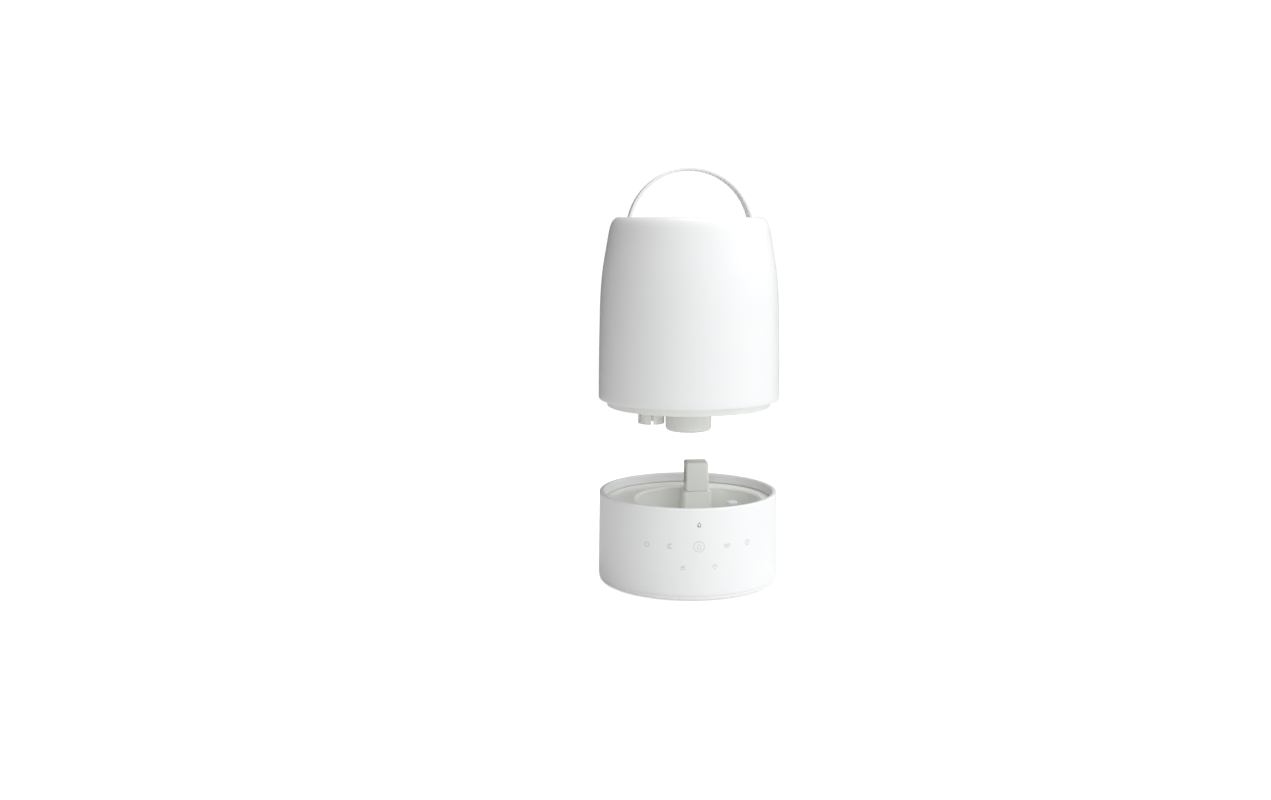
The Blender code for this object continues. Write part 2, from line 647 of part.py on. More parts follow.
def make_nozzle():
    profile = [(0.0, 160.5), (6.0, 160.2), (13.0, 159.0), (17.5, 156.0), (19.2, 152.0),
               (19.2, 141.5), (17.4, 141.5), (17.4, 151.2), (16.0, 154.4), (12.2, 157.0),
               (6.0, 158.2), (0.0, 158.5)]
    nozzle = lathe("mist_nozzle", profile, segments=24)
    paint(nozzle, "white_plastic", 0.35, parent=TANK)
    hole = rod("mist_outlet", 5.5, -6.0, 8.0)
    cut(nozzle, lay_along(hole, (0.0, -0.64, 0.77), (0.0, -9.5, 157.0)))


def make_cap():
    """The screw cap on the neck, with the cage that guides the valve."""
    cup = [(6.5, CAP_BOTTOM), (17.5, CAP_BOTTOM), (19.6, -29.4), (20.8, -28.2), (CAP_R, -26.4),
           (CAP_R, -9.6), (20.6, -9.0), (18.8, -9.0), (18.8, -27.5), (6.5, -27.5)]
    cap = paint(lathe("tank_cap", cup, segments=32), "white_plastic", 0.4, parent=TANK)
    for i in range(3):
        leg = box(f"cage_leg_{i}", (11.2, -2.0, -28.5), (13.5, 2.0, -12.2), True, (0, 0, 0))
        join(cap, spun(leg, 90.0 + 120.0 * i))
    join(cap, ring("valve_bridge", 2.7, 13.8, -13.0, -11.4, tool=True))
    gasket = ring("cap_gasket", 15.8, 18.4, -27.2, -25.5, segments=24)
    paint(gasket, "rubber", 0.9, parent=TANK)


def make_valve():
    stem = [(0.0, -29.3), (2.6, -29.3), (3.0, -28.9), (3.0, -25.8), (9.0, -25.8),
            (9.0, -24.2), (2.2, -24.2), (2.2, -9.8), (0.0, -9.3)]
    plunger = lathe("valve_plunger", stem, segments=SMALL_ROUND)
    paint(plunger, "white_plastic", 0.4, parent=TANK)
    paint(ring("valve_seal", 3.3, 9.6, -27.2, -26.1), "rubber", 0.9, parent=TANK)
    turns, steps, low, high = 5, 10, -23.4, -13.9
    path = []
    for i in range(turns * steps + 1):
        a = 2.0 * math.pi * i / steps
        z = low + (high - low) * i / (turns * steps)
        path.append((5.2 * math.cos(a), 5.2 * math.sin(a), z))
    paint(bar("valve_spring", path, 0.45), "steel", 0.25, 1.0, TANK)


make_base_shell()
make_deck()
make_basin()
make_well()
make_basin_posts()
make_bottom_cover()
make_feet_and_screws()
make_tower_cover()
make_transducer()
make_fan()
make_boards()
make_jack()
make_float()
make_leads()
make_tank_shell()
make_tank_shoulder()
make_recess()
make_tank_floor()
make_plug_ring()
make_filler_neck()
make_mist_path()
make_handle()
make_handle_pins()
make_nozzle()
make_cap()
make_valve()
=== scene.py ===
"""Looks for the cool mist humidifier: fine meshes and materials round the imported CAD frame.

Lengths in the helpers are millimetres in the CAD's frame, scaled to metres as each mesh is made.
"""

import json
import math

import bmesh
import bpy
from mathutils import Matrix, Vector


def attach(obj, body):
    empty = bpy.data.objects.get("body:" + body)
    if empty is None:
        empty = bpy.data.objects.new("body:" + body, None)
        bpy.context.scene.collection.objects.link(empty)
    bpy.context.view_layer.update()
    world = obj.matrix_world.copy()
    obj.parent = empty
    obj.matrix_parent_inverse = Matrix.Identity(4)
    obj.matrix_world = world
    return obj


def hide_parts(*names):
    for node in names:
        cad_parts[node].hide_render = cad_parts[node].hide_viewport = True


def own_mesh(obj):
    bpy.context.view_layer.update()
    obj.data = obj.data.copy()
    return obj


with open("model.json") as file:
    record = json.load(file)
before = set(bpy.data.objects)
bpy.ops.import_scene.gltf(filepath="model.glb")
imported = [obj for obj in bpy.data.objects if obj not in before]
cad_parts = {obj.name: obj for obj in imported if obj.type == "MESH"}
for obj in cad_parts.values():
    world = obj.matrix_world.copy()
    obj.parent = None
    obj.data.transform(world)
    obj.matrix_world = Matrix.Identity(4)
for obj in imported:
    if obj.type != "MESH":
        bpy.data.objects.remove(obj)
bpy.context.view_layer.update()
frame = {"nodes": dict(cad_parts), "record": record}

MM = 0.001
FINE = 160
SMALL = 64
PI = math.pi

# The same design sizes as the CAD
BASE_R = 82.0
FOOT_R = 83.0
BASE_TOP = 83.0
DECK_Z = 74.0
BASIN_AT = (9.0, 0.0)
BASIN_R = 57.6
BASIN_FLOOR = 45.0
WELL_AT = (-34.0, 5.0)
WELL_R = 14.0
TOWER_AT = (13.0, 44.0)
FLOAT_AT = (44.0, 19.0)
FAN_AT = (13.0, 10.0)
JACK_Z = 18.0
TANK_Z = 168.7
TANK_H = 164.0
HANDLE_Z = TANK_H - 13.0
PIN_BORE_R = 2.8
STRAP_HALF = 10.0
STRAP_INNER = 54.4
STRAP_OUTER = 57.0
SCREW_RING = 72.0
FOOT_RING = 64.0

# Screw bosses: 0.01 mm short of the CAD's place, which is the screw ring at 45 degrees
BOSS_AT = 50.9

# Ring of the grip ribs on the nozzle
RIB_RING = 19.15

# Heights of the marks on the base's wall
MARKS_TOP = 69.0
MARKS_MIDDLE = 49.5
MARKS_LOW = 31.0

# Light. The sky's strength leans from one side to the other.
FLOOR_GLOW = 0.68
SKY_EVEN = 0.46
SKY_LEAN = 0.98
SKY_FROM = (0.66, -0.60, 0.45)
BACKGROUND = 1.05
WARM_SIDE = (1.0, 0.985, 0.965)
COOL_SIDE = (0.965, 0.985, 1.0)
LAMP_AT = (0.5, 0.2, 2.2)
LAMP_AIM = (0.0, 0.0, 0.15)
LAMP_SIZE = 2.0
LAMP_POWER = 16.0

# Camera: metres, millimetres of lens, degrees
CAMERA_AT = (-0.140, -1.1577, 0.3327)
LENS = 36.3
HEADING = 4.5
TILT = 8.12


# ---------------------------------------------------------------- meshes


def add_object(name, data):
    obj = bpy.data.objects.new(name, data)
    bpy.context.scene.collection.objects.link(obj)
    return obj


def mesh_from(name, verts, faces):
    """A closed mesh whose faces point outwards, from millimetres."""
    mesh = bpy.data.meshes.new(name)
    mesh.from_pydata([(x * MM, y * MM, z * MM) for x, y, z in verts], [], faces)
    shape = bmesh.new()
    shape.from_mesh(mesh)
    bmesh.ops.recalc_face_normals(shape, faces=shape.faces)
    if shape.calc_volume(signed=True) < 0:
        bmesh.ops.reverse_faces(shape, faces=shape.faces)
    shape.to_mesh(mesh)
    shape.free()
    return add_object(name, mesh)


def fillet(points, radii, closed=True, steps=6):
    """A profile with its corners rounded. radii gives one radius for each point."""
    count = len(points)
    found = []
    for i, (point, radius) in enumerate(zip(points, radii, strict=True)):
        end = not closed and i in (0, count - 1)
        if radius <= 0.0 or end:
            found.append(tuple(point))
            continue
        here = Vector(point)
        back = Vector(points[i - 1]) - here
        ahead = Vector(points[(i + 1) % count]) - here
        room = 0.48 * min(back.length, ahead.length)
        back, ahead = back.normalized(), ahead.normalized()
        angle = back.angle(ahead)
        if angle > PI - 0.02:
            found.append(tuple(point))
            continue
        reach = min(radius / math.tan(angle / 2.0), room)
        radius = reach * math.tan(angle / 2.0)
        centre = here + (back + ahead).normalized() * (radius / math.sin(angle / 2.0))
        start, stop = here + back * reach - centre, here + ahead * reach - centre
        for s in range(steps + 1):
            t = s / steps
            swing = start.angle(stop)
            a = math.sin((1 - t) * swing) / math.sin(swing)
            b = math.sin(t * swing) / math.sin(swing)
            found.append(tuple(centre + start * a + stop * b))
    return found


def smooth_line(points, per_span=4):
    """A Catmull-Rom curve through the points."""
    found = []
    for i in range(len(points) - 1):
        p = [Vector(points[max(0, min(len(points) - 1, i + k))]) for k in (-1, 0, 1, 2)]
        for s in range(per_span):
            t = s / per_span
            found.append(tuple(
                0.5 * (2 * p[1] + (p[2] - p[0]) * t + (2 * p[0] - 5 * p[1] + 4 * p[2] - p[3]) * t**2
                       + (3 * p[1] - p[0] - 3 * p[2] + p[3]) * t**3)
            ))
    found.append(tuple(points[-1]))
    return found


def loft(name, rings, closed=False):
    """Joins rings of the same number of points. Open ends close with a flat face."""
    size = len(rings[0])
    verts = [v for ring in rings for v in ring]
    faces = []
    for row in range(len(rings) if closed else len(rings) - 1):
        a, b = row * size, ((row + 1) % len(rings)) * size
        faces += [(a + i, a + (i + 1) % size, b + (i + 1) % size, b + i) for i in range(size)]
    if not closed:
        last = (len(rings) - 1) * size
        faces += [tuple(range(size)), tuple(last + i for i in range(size))]
    return mesh_from(name, verts, faces)


def ring_at(radius, z, at=(0.0, 0.0), count=FINE):
    turn = 2.0 * PI / count
    return [(at[0] + radius * math.cos(i * turn), at[1] + radius * math.sin(i * turn), z)
            for i in range(count)]


def around(radius, degrees):
    """The point at a radius and an angle from the base's axis."""
    a = math.radians(degrees)
    return (radius * math.cos(a), radius * math.sin(a))


def lathe(name, profile, at=(0.0, 0.0), count=FINE, lift=0.0):
    """Turns a profile about +Z. One that starts and ends near the axis closes there."""
    closed = min(profile[0][0], profile[-1][0]) > 0.5
    return loft(name, [ring_at(max(r, 0.02), z + lift, at, count) for r, z in profile], closed)


def square_ring(side, corner, z, at, steps=6):
    inset = side / 2.0 - corner
    points = []
    for quarter, (sx, sy) in enumerate([(1, 1), (-1, 1), (-1, -1), (1, -1)]):
        for i in range(steps + 1):
            a = (quarter + i / steps) * PI / 2.0
            points.append((at[0] + sx * inset + corner * math.cos(a),
                           at[1] + sy * inset + corner * math.sin(a), z))
    return points


def square_post(name, stations, at):
    """A square post with round corners. Each station is (side, corner radius, height)."""
    return loft(name, [square_ring(side, corner, z, at) for side, corner, z in stations])


def box(name, low, high, edge=0.0):
    rings = []
    for z, inset in ((low[2], edge), (low[2] + edge, 0.0), (high[2] - edge, 0.0), (high[2], edge)):
        rings.append([(low[0] + inset, low[1] + inset, z), (high[0] - inset, low[1] + inset, z),
                      (high[0] - inset, high[1] - inset, z), (low[0] + inset, high[1] - inset, z)])
    return loft(name, rings if edge else [rings[0], rings[-1]])


def lay_along(obj, direction, at):
    turn = Vector((0, 0, 1)).rotation_difference(Vector(direction)).to_matrix().to_4x4()
    obj.data.transform(Matrix.Translation(Vector(at) * MM) @ turn)
    return obj


def turned(obj, degrees, at=(0.0, 0.0, 0.0), axis="Z"):
    move = Matrix.Translation(Vector(at) * MM)
    obj.data.transform(move @ Matrix.Rotation(math.radians(degrees), 4, axis))
    return obj


def combine(obj, tools, kind):
    """Adds or takes away the tools, and leaves their result as the object's mesh."""
    for tool in tools:
        step = obj.modifiers.new("combine", "BOOLEAN")
        step.operation, step.solver, step.object = kind, "EXACT", tool
    settle(obj)
    for tool in tools:
        bpy.data.objects.remove(tool, do_unlink=True)
    return obj


def cut(obj, *tools):
    return combine(obj, tools, "DIFFERENCE")


def add(obj, *tools):
    return combine(obj, tools, "UNION")


def settle(obj):
    """Puts the modifiers' result in the mesh."""
    bpy.context.view_layer.update()
    done = bpy.data.meshes.new_from_object(
        obj.evaluated_get(bpy.context.evaluated_depsgraph_get()))
    obj.modifiers.clear()
    obj.data = done
    return obj


def shade(obj, degrees=32.0):
    obj.data.shade_smooth()
    obj.data.set_sharp_from_angle(angle=math.radians(degrees))
    return obj


def place(obj, body, material, replaced=()):
    """The last step for a piece: shading, material, body and the CAD nodes it stands for."""
    shade(obj)
    obj.data.materials.clear()
    obj.data.materials.append(material)
    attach(obj, body)
    if replaced:
        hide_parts(*replaced)
    return obj


# ---------------------------------------------------------------- materials


class Nodes:
    """Short calls for building a material's nodes."""

    def __init__(self, name):
        self.mat = bpy.data.materials.new(name)
        self.mat.use_nodes = True
        self.tree = self.mat.node_tree
        self.shader = self.tree.nodes["Principled BSDF"]
        self.place = self.new("ShaderNodeTexCoord").outputs["Object"]

    def new(self, kind, **settings):
        node = self.tree.nodes.new(kind)
        for key, value in settings.items():
            setattr(node, key, value)
        return node

    def link(self, a, b):
        self.tree.links.new(a, b)

    def noise(self, scale, detail=3.0, stretch=None):
        node = self.new("ShaderNodeTexNoise")
        node.inputs["Scale"].default_value = scale
        node.inputs["Detail"].default_value = detail
        where = self.place
        if stretch:
            mapping = self.new("ShaderNodeMapping")
            mapping.inputs["Scale"].default_value = stretch
            self.link(where, mapping.inputs["Vector"])
            where = mapping.outputs["Vector"]
        self.link(where, node.inputs["Vector"])
        return node.outputs["Fac"]

    def range(self, value, low, high, start=0.3, stop=0.7):
        node = self.new("ShaderNodeMapRange")
        for key, number in zip(("From Min", "From Max", "To Min", "To Max"),
                               (start, stop, low, high), strict=True):
            node.inputs[key].default_value = number
        self.link(value, node.inputs["Value"])
        return node.outputs["Result"]

    def mix(self, factor, first, second):
        node = self.new("ShaderNodeMix", data_type="RGBA")
        node.inputs["A"].default_value = (*first, 1.0)
        node.inputs["B"].default_value = (*second, 1.0)
        self.link(factor, node.inputs["Factor"])
        return node.outputs["Result"]

    def bump(self, height, strength, distance, under=None):
        node = self.new("ShaderNodeBump")
        node.inputs["Strength"].default_value = strength
        node.inputs["Distance"].default_value = distance
        self.link(height, node.inputs["Height"])
        if under:
            self.link(under, node.inputs["Normal"])
        return node.outputs["Normal"]

    def set(self, **values):
        for key, value in values.items():
            self.shader.inputs[key.replace("_", " ")].default_value = value


def plastic(name, light, dark, rough=(0.3, 0.4), grain=0.06, specular=0.5):
    """Moulded plastic: faint cloudy colour, slow waves from the mould and a fine spark finish."""
    m = Nodes(name)
    m.link(m.mix(m.range(m.noise(18.0), 0.0, 1.0), dark, light), m.shader.inputs["Base Color"])
    m.link(m.range(m.noise(240.0), *rough), m.shader.inputs["Roughness"])
    waves = m.bump(m.noise(24.0, 1.0), 0.10, 0.0004)
    normal = m.bump(m.noise(2600.0, 2.0), grain, 0.00004, waves)
    m.link(normal, m.shader.inputs["Normal"])
    m.set(IOR=1.49)
    m.set(**{"Specular IOR Level": specular})
    return m.mat


def rubber(name, colour, worn):
    m = Nodes(name)
    m.link(m.mix(m.range(m.noise(90.0), 0.0, 1.0), colour, worn), m.shader.inputs["Base Color"])
    m.link(m.range(m.noise(400.0), 0.62, 0.8), m.shader.inputs["Roughness"])
    m.link(m.bump(m.noise(1800.0), 0.25, 0.00006), m.shader.inputs["Normal"])
    return m.mat


def metal(name, light, dark, rough=(0.22, 0.38), stretch=(1.0, 1.0, 14.0)):
    """Bright metal with fine turning or rolling lines."""
    m = Nodes(name)
    lines = m.noise(500.0, 4.0, stretch)
    m.link(m.mix(m.range(lines, 0.0, 1.0), dark, light), m.shader.inputs["Base Color"])
    m.link(m.range(lines, *rough), m.shader.inputs["Roughness"])
    m.link(m.bump(lines, 0.08, 0.00005), m.shader.inputs["Normal"])
    m.set(Metallic=1.0)
    return m.mat


def board(name):
    """A printed board: green mask over faint square tracks."""
    m = Nodes(name)
    tracks = m.new("ShaderNodeTexBrick")
    m.link(m.place, tracks.inputs["Vector"])
    tracks.inputs["Scale"].default_value = 160.0
    tracks.inputs["Mortar Size"].default_value = 0.03
    for key, colour in (("Color1", (0.02, 0.17, 0.07)), ("Color2", (0.03, 0.21, 0.09)),
                        ("Mortar", (0.10, 0.34, 0.15))):
        tracks.inputs[key].default_value = (*colour, 1.0)
    m.link(tracks.outputs["Color"], m.shader.inputs["Base Color"])
    m.link(m.range(m.noise(300.0), 0.3, 0.45), m.shader.inputs["Roughness"])
    m.link(m.bump(tracks.outputs["Fac"], 0.2, 0.00005), m.shader.inputs["Normal"])
    return m.mat


def ceramic(name):
    """The transducer's face: pale and glossy, and partly metallic."""
    m = Nodes(name)
    m.link(m.mix(m.range(m.noise(120.0), 0.0, 1.0), (0.62, 0.60, 0.55), (0.74, 0.72, 0.66)),
           m.shader.inputs["Base Color"])
    m.link(m.range(m.noise(500.0), 0.15, 0.28), m.shader.inputs["Roughness"])
    m.link(m.bump(m.noise(900.0), 0.05, 0.00004), m.shader.inputs["Normal"])
    m.set(Metallic=0.6)
    return m.mat


MATERIALS = {
    "white_shell": plastic("white_shell", (0.885, 0.885, 0.885), (0.87, 0.872, 0.875),
                           (0.30, 0.38), 0.05),
    # white_strap is a lighter copy of the shell's white plastic: painted light that brightens the
    # strap where it renders in shade.
    "white_strap": plastic("white_strap", (0.93, 0.93, 0.93), (0.92, 0.922, 0.925),
                           (0.50, 0.55), 0.0),
    # white_inner is a little lighter than the shell: painted light that lifts the shaded deck and
    # basin.
    "white_inner": plastic("white_inner", (0.90, 0.905, 0.875), (0.885, 0.892, 0.86),
                           (0.42, 0.52), 0.10),
    "grey_plastic": plastic("grey_plastic", (0.42, 0.44, 0.45), (0.38, 0.40, 0.41),
                            (0.4, 0.5), 0.15),
    "black_plastic": plastic("black_plastic", (0.035, 0.036, 0.038), (0.028, 0.029, 0.03),
                             (0.4, 0.52), 0.2),
    "mark_ink": plastic("mark_ink", (0.60, 0.61, 0.63), (0.57, 0.58, 0.60), (0.4, 0.5), 0.02),
    "dark_ink": plastic("dark_ink", (0.13, 0.13, 0.15), (0.11, 0.11, 0.12), (0.4, 0.5), 0.02),
    "seal_rubber": rubber("seal_rubber", (0.66, 0.67, 0.66), (0.60, 0.61, 0.60)),
    "foot_rubber": rubber("foot_rubber", (0.16, 0.165, 0.17), (0.20, 0.205, 0.21)),
    "steel": metal("steel", (0.70, 0.70, 0.71), (0.52, 0.52, 0.54)),
    "aluminium": metal("aluminium", (0.80, 0.81, 0.82), (0.66, 0.67, 0.69)),
    "board": board("board"),
    "piezo": ceramic("piezo"),
    "magnet": plastic("magnet", (0.07, 0.07, 0.075), (0.05, 0.05, 0.055), (0.35, 0.5), 0.3),
    "wire": rubber("wire", (0.38, 0.03, 0.025), (0.30, 0.025, 0.02)),
}


def finish_cad_nodes():
    """Every CAD node that still shows gets its slot's procedural material."""
    slots = {row["node"]: row["material_slot"] for row in frame["record"]["subparts"]}
    for name, obj in frame["nodes"].items():
        material = MATERIALS[slots[name]]
        if not obj.data.materials:
            obj.data.materials.append(material)
        for i in range(len(obj.material_slots)):
            obj.material_slots[i].material = material


# ---------------------------------------------------------------- base


def make_base_shell():
    profile = fillet(
        [(79.5, 5.08), (FOOT_R - 0.1, 5.08), (FOOT_R, 8.0), (BASE_R, BASE_TOP), (77.0, BASE_TOP),
         (77.0, 74.9), (77.6, 74.15), (79.5, 74.15)],
        [0.1, 0.5, 0.0, 1.7, 1.7, 0.3, 0.2, 0.2])
    shell = lathe("base_wall", profile)
    hole = lathe("hole", fillet([(0, -3), (5.6, -3), (4.4, 0.2), (4.4, 12), (0, 12)],
                                [0, 0, 0.8, 0, 0], False), count=48)
    cut(shell, lay_along(hole, (0, -1, 0), (0.0, 82.4, JACK_Z)))
    place(shell, "base", MATERIALS["white_shell"], ["base_shell"])


def make_basin():
    """The deck, the water basin, the transducer's well and what stands in them, as one moulding."""
    deck = fillet([(0, 71.5), (79.2, 71.5), (79.2, DECK_Z), (0, DECK_Z)], [0, 0.4, 0.5, 0], False)
    basin = lathe("basin_tray", deck)
    cup = fillet([(0, 42.5), (60.1, 42.5), (60.1, 72.5), (0, 72.5)], [0, 2.0, 0, 0], False)
    well = fillet([(0, 20), (16.5, 20), (16.5, 44), (0, 44)], [0, 1.0, 0, 0], False)
    add(basin, lathe("cup_outside", cup, BASIN_AT), lathe("well_outside", well, WELL_AT, SMALL))
    boss = [(0, 5.5), (4.0, 5.5), (4.0, 72.5), (0, 72.5)]
    for sx in (-1, 1):
        for sy in (-1, 1):
            add(basin, lathe("boss", boss, (sx * BOSS_AT, sy * BOSS_AT), 32))
    inside = fillet([(0, BASIN_FLOOR), (57.2, BASIN_FLOOR), (BASIN_R, 72.4), (59.4, DECK_Z),
                     (59.6, 80.0), (0, 80.0)], [0, 4.0, 1.2, 1.2, 0, 0], False)
    mouth = fillet([(0, 25), (WELL_R, 25), (WELL_R, 44.2), (15.0, 45.0), (15.2, 47.0), (0, 47.0)],
                   [0, 2.5, 0.6, 0.6, 0, 0], False)
    cut(basin, lathe("cup_inside", inside, BASIN_AT), lathe("well_inside", mouth, WELL_AT, SMALL))
    stub = [(29.4, 4.6, 44.0), (28.2, 4.0, 45.4), (27.3, 3.4, 46.6), (27.0, 3.0, 48.4),
            (27.0, 3.0, DECK_Z - 1.5), (26.6, 2.8, DECK_Z - 0.8), (25.8, 2.6, DECK_Z - 0.4)]
    foot = [(0, 44), (6.4, 44), (6.4, 45.1), (5.0, 46.6), (4.0, 47.4), (2.7, 48.6), (2.5, 50.0),
            (2.5, 53.0), (2.0, 53.5), (0, 53.5)]
    post = [(0, 44), (5.5, 44), (5.5, 45.1), (4.0, 45.4), (3.0, 46.6), (2.5, 48), (2.5, 64.0),
            (0, 64.6)]
    add(basin, square_post("stub", stub, TOWER_AT), lathe("pin", foot, count=40),
        lathe("post", post, FLOAT_AT, 40))
    for turn in (0, 90):
        add(basin, turned(box("rib", (-6.0, -0.6, 44.0), (6.0, 0.6, 50.5), 0.2), turn))
    cut(basin, square_post("bore", [(20.4, 1.8, 38.0), (20.4, 1.8, 80.0)], TOWER_AT),
        lathe("hole", [(0, 15), (8.0, 15), (8.0, 25.2), (9.0, 26.4), (0, 26.4)], WELL_AT, 48),
        lathe("seat", [(0, 15), (12.3, 15), (12.3, 22.7), (0, 22.7)], WELL_AT, 48))
    for i in range(4):
        at = around(SCREW_RING, 45 + 90 * i)
        cut(basin, lathe("bore", [(0, 3), (1.5, 3), (1.5, 20), (0, 20)], at, 16))
    place(basin, "base", MATERIALS["white_inner"],
          ["deck", "basin", "transducer_well", "tower_stub", "valve_pin", "float_post"])


def make_tower():
    side = 22.0
    outside = [(19.6, 1.8, 66.0), (19.6, 1.8, 74.0), (side, 2.4, 74.0), (side, 2.4, 99.0)]
    for i in range(1, 6):
        a = i / 5 * PI / 2
        drop = 2.0 * (1 - math.cos(a))
        outside.append((side - 2 * drop, 2.4 - drop, 99.0 + 2.0 * math.sin(a)))
    tower = square_post("air_tower", outside, TOWER_AT)
    cut(tower, square_post("bore", [(16.8, 1.2, 60.0), (16.8, 1.2, 98.6)], TOWER_AT))
    x, y = TOWER_AT
    window = box("window", (-6.6, -8.0, 0.0), (6.6, 8.0, 8.0), 0.0)
    lay_along(window, (1, 0, 0), (x - 13.0, y, 87.0))
    cut(tower, window)
    place(tower, "base", MATERIALS["white_inner"], ["tower_cover"])
    for i in range(4):
        slat = box(f"outlet_slat_{i + 1}", (x - 10.8, y - 7.2, 81.2 + i * 3.4),
                   (x - 9.0, y + 7.2, 82.0 + i * 3.4), 0.2)
        place(slat, "base", MATERIALS["white_inner"])


def make_bottom():
    profile = fillet([(0, 1.0), (81.9, 1.0), (82.75, 5.0), (78.6, 5.0), (78.2, 4.0), (0, 4.0)],
                     [0, 1.8, 0.3, 0.3, 0.2, 0], False)
    cover = lathe("bottom_plate", profile)
    for i in range(4):
        hole = [(0, -1), (4.2, -1), (4.2, 0.9), (3.6, 1.5), (3.6, 2.6), (1.7, 2.6), (1.7, 6),
                (0, 6)]
        cut(cover, lathe("hole", hole, around(SCREW_RING, 45 + 90 * i), 40))
        seat = [(0, -1), (7.3, -1), (7.3, 2.5), (0, 2.5)]
        cut(cover, lathe("seat", seat, around(FOOT_RING, 90 * i), 48))
    for away in (-10.0, -5.0, 0.0, 5.0, 10.0):
        half = math.sqrt(14.0**2 - away**2)
        x, y = FAN_AT
        cut(cover, box("slot", (x - half, y + away - 1.2, -1.0), (x + half, y + away + 1.2, 6.0)))
    place(cover, "base", MATERIALS["white_inner"], ["bottom_cover"])


def make_feet_and_screws():
    for i in range(4):
        profile = [(0, 0.35), (3.0, 0.35), (3.6, 0.0), (6.3, 0.0), (7.0, 0.5), (7.0, 2.2), (0, 2.2)]
        foot = lathe(f"foot_pad_{i + 1}", fillet(profile, [0, 0.2, 0.2, 0.4, 0.3, 0.2, 0], False),
                     around(FOOT_RING, 90 * i), SMALL)
        place(foot, "base", MATERIALS["foot_rubber"], [f"rubber_foot_{i + 1}"])
        at = around(SCREW_RING, 45 + 90 * i)
        head = fillet([(0, 1.1), (2.9, 1.1), (3.2, 1.5), (3.2, 2.3), (1.2, 2.3), (1.2, 15.0),
                       (0, 15.6)], [0, 0.5, 0.2, 0.1, 0.1, 0.1, 0], False, 3)
        screw = lathe(f"case_screw_{i + 1}", head, at, 40)
        for turn in (45, 135):
            cross = turned(box("cross", (-1.7, -0.3, 0.0), (1.7, 0.3, 1.8)), turn,
                           (at[0], at[1], 0.0))
            cut(screw, cross)
        place(screw, "base", MATERIALS["steel"], [f"cover_screw_{i + 1}"])


def make_float():
    body = [(3.1, 47), (4.3, 47), (4.3, 50), (7.3, 50), (7.3, 47), (9.0, 47), (9.0, 57), (3.1, 57)]
    ring = lathe("float_ring", fillet(body, [0.2, 0.2, 0.2, 0.2, 0.2, 0.8, 1.4, 0.5]), FLOAT_AT,
                 SMALL)
    place(ring, "float", MATERIALS["white_shell"], ["float"])
    top = [(0, 66.8), (5.5, 66.6), (5.5, 63.6), (2.8, 63.6), (2.8, 64.9), (0, 64.9)]
    cap = lathe("float_stop", fillet(top, [0, 1.3, 0.4, 0.2, 0.2, 0], False), FLOAT_AT, SMALL)
    place(cap, "base", MATERIALS["white_shell"], ["float_retainer"])


def make_jack():
    body = box("jack_body", (-5.5, 62.0, 12.0), (5.5, 76.5, 24.0), 0.6)
    profile = fillet([(0, 0), (4.0, 0), (4.0, 7.0), (0, 7.0)], [0, 0, 0.5, 0], False)
    barrel = lathe("barrel", profile, count=48)
    add(body, lay_along(barrel, (0, 1, 0), (0.0, 74.5, JACK_Z)))
    bore = [(1.0, 0), (2.8, 0), (2.8, 10.6), (3.3, 11.2), (3.3, 14), (0.0, 14), (0.0, 10.0),
            (0.7, 9.8), (1.0, 9.3)]
    cutter = loft("bore", [ring_at(max(r, 0.02), z, count=40) for r, z in bore], True)
    cut(body, lay_along(cutter, (0, 1, 0), (0.0, 70.4, JACK_Z)))
    place(body, "base", MATERIALS["black_plastic"], ["power_jack"])


# ---------------------------------------------------------------- touch marks


def on_wall(u, v, radius, centre_deg, z):
    """A point drawn flat, laid round the base's wall."""
    a = math.radians(centre_deg) + u / BASE_R
    radius += (BASE_TOP - z - v) / (BASE_TOP - 8.0) * (FOOT_R - BASE_R)
    return (radius * math.sin(a), -radius * math.cos(a), z + v)


def stroke(path, width, centre_deg, z, closed=False):
    """A thin printed line on the wall, standing 0.04 mm proud. Returns verts and faces."""
    count = len(path)
    verts, faces = [], []
    for i in range(count):
        before = path[i - 1] if closed or i else path[0]
        after = path[(i + 1) % count] if closed or i < count - 1 else path[-1]
        du, dv = after[0] - before[0], after[1] - before[1]
        size = math.hypot(du, dv) or 1.0
        nu, nv = -dv / size * width / 2, du / size * width / 2
        u, v = path[i]
        for radius in (BASE_R - 0.2, BASE_R + 0.04):
            verts.append(on_wall(u + nu, v + nv, radius, centre_deg, z))
            verts.append(on_wall(u - nu, v - nv, radius, centre_deg, z))
    for i in range(count if closed else count - 1):
        a, b = 4 * i, 4 * ((i + 1) % count)
        faces += [(a, a + 1, b + 1, b), (a + 2, b + 2, b + 3, a + 3), (a, b, b + 2, a + 2),
                  (a + 1, a + 3, b + 3, b + 1)]
    if not closed:
        end = 4 * (count - 1)
        faces += [(0, 2, 3, 1), (end, end + 1, end + 3, end + 2)]
    return verts, faces


def arc(radius, start, stop, at=(0.0, 0.0), steps=20):
    return [(at[0] + radius * math.cos(math.radians(start + (stop - start) * i / steps)),
             at[1] + radius * math.sin(math.radians(start + (stop - start) * i / steps)))
            for i in range(steps + 1)]


def circle_line(radius, at=(0.0, 0.0), steps=28):
    return arc(radius, 0.0, 360.0, at, steps)[:-1]


def make_mark(name, lines, centre_deg, z, width=0.55, ink="mark_ink"):
    """One printed mark. Each line is (path, closed)."""
    verts, faces = [], []
    for path, closed in lines:
        new_verts, new_faces = stroke(path, width, centre_deg, z, closed)
        offset = len(verts)
        verts += new_verts
        faces += [tuple(i + offset for i in face) for face in new_faces]
    mark = mesh_from(name, verts, faces)
    place(mark, "base", MATERIALS[ink])


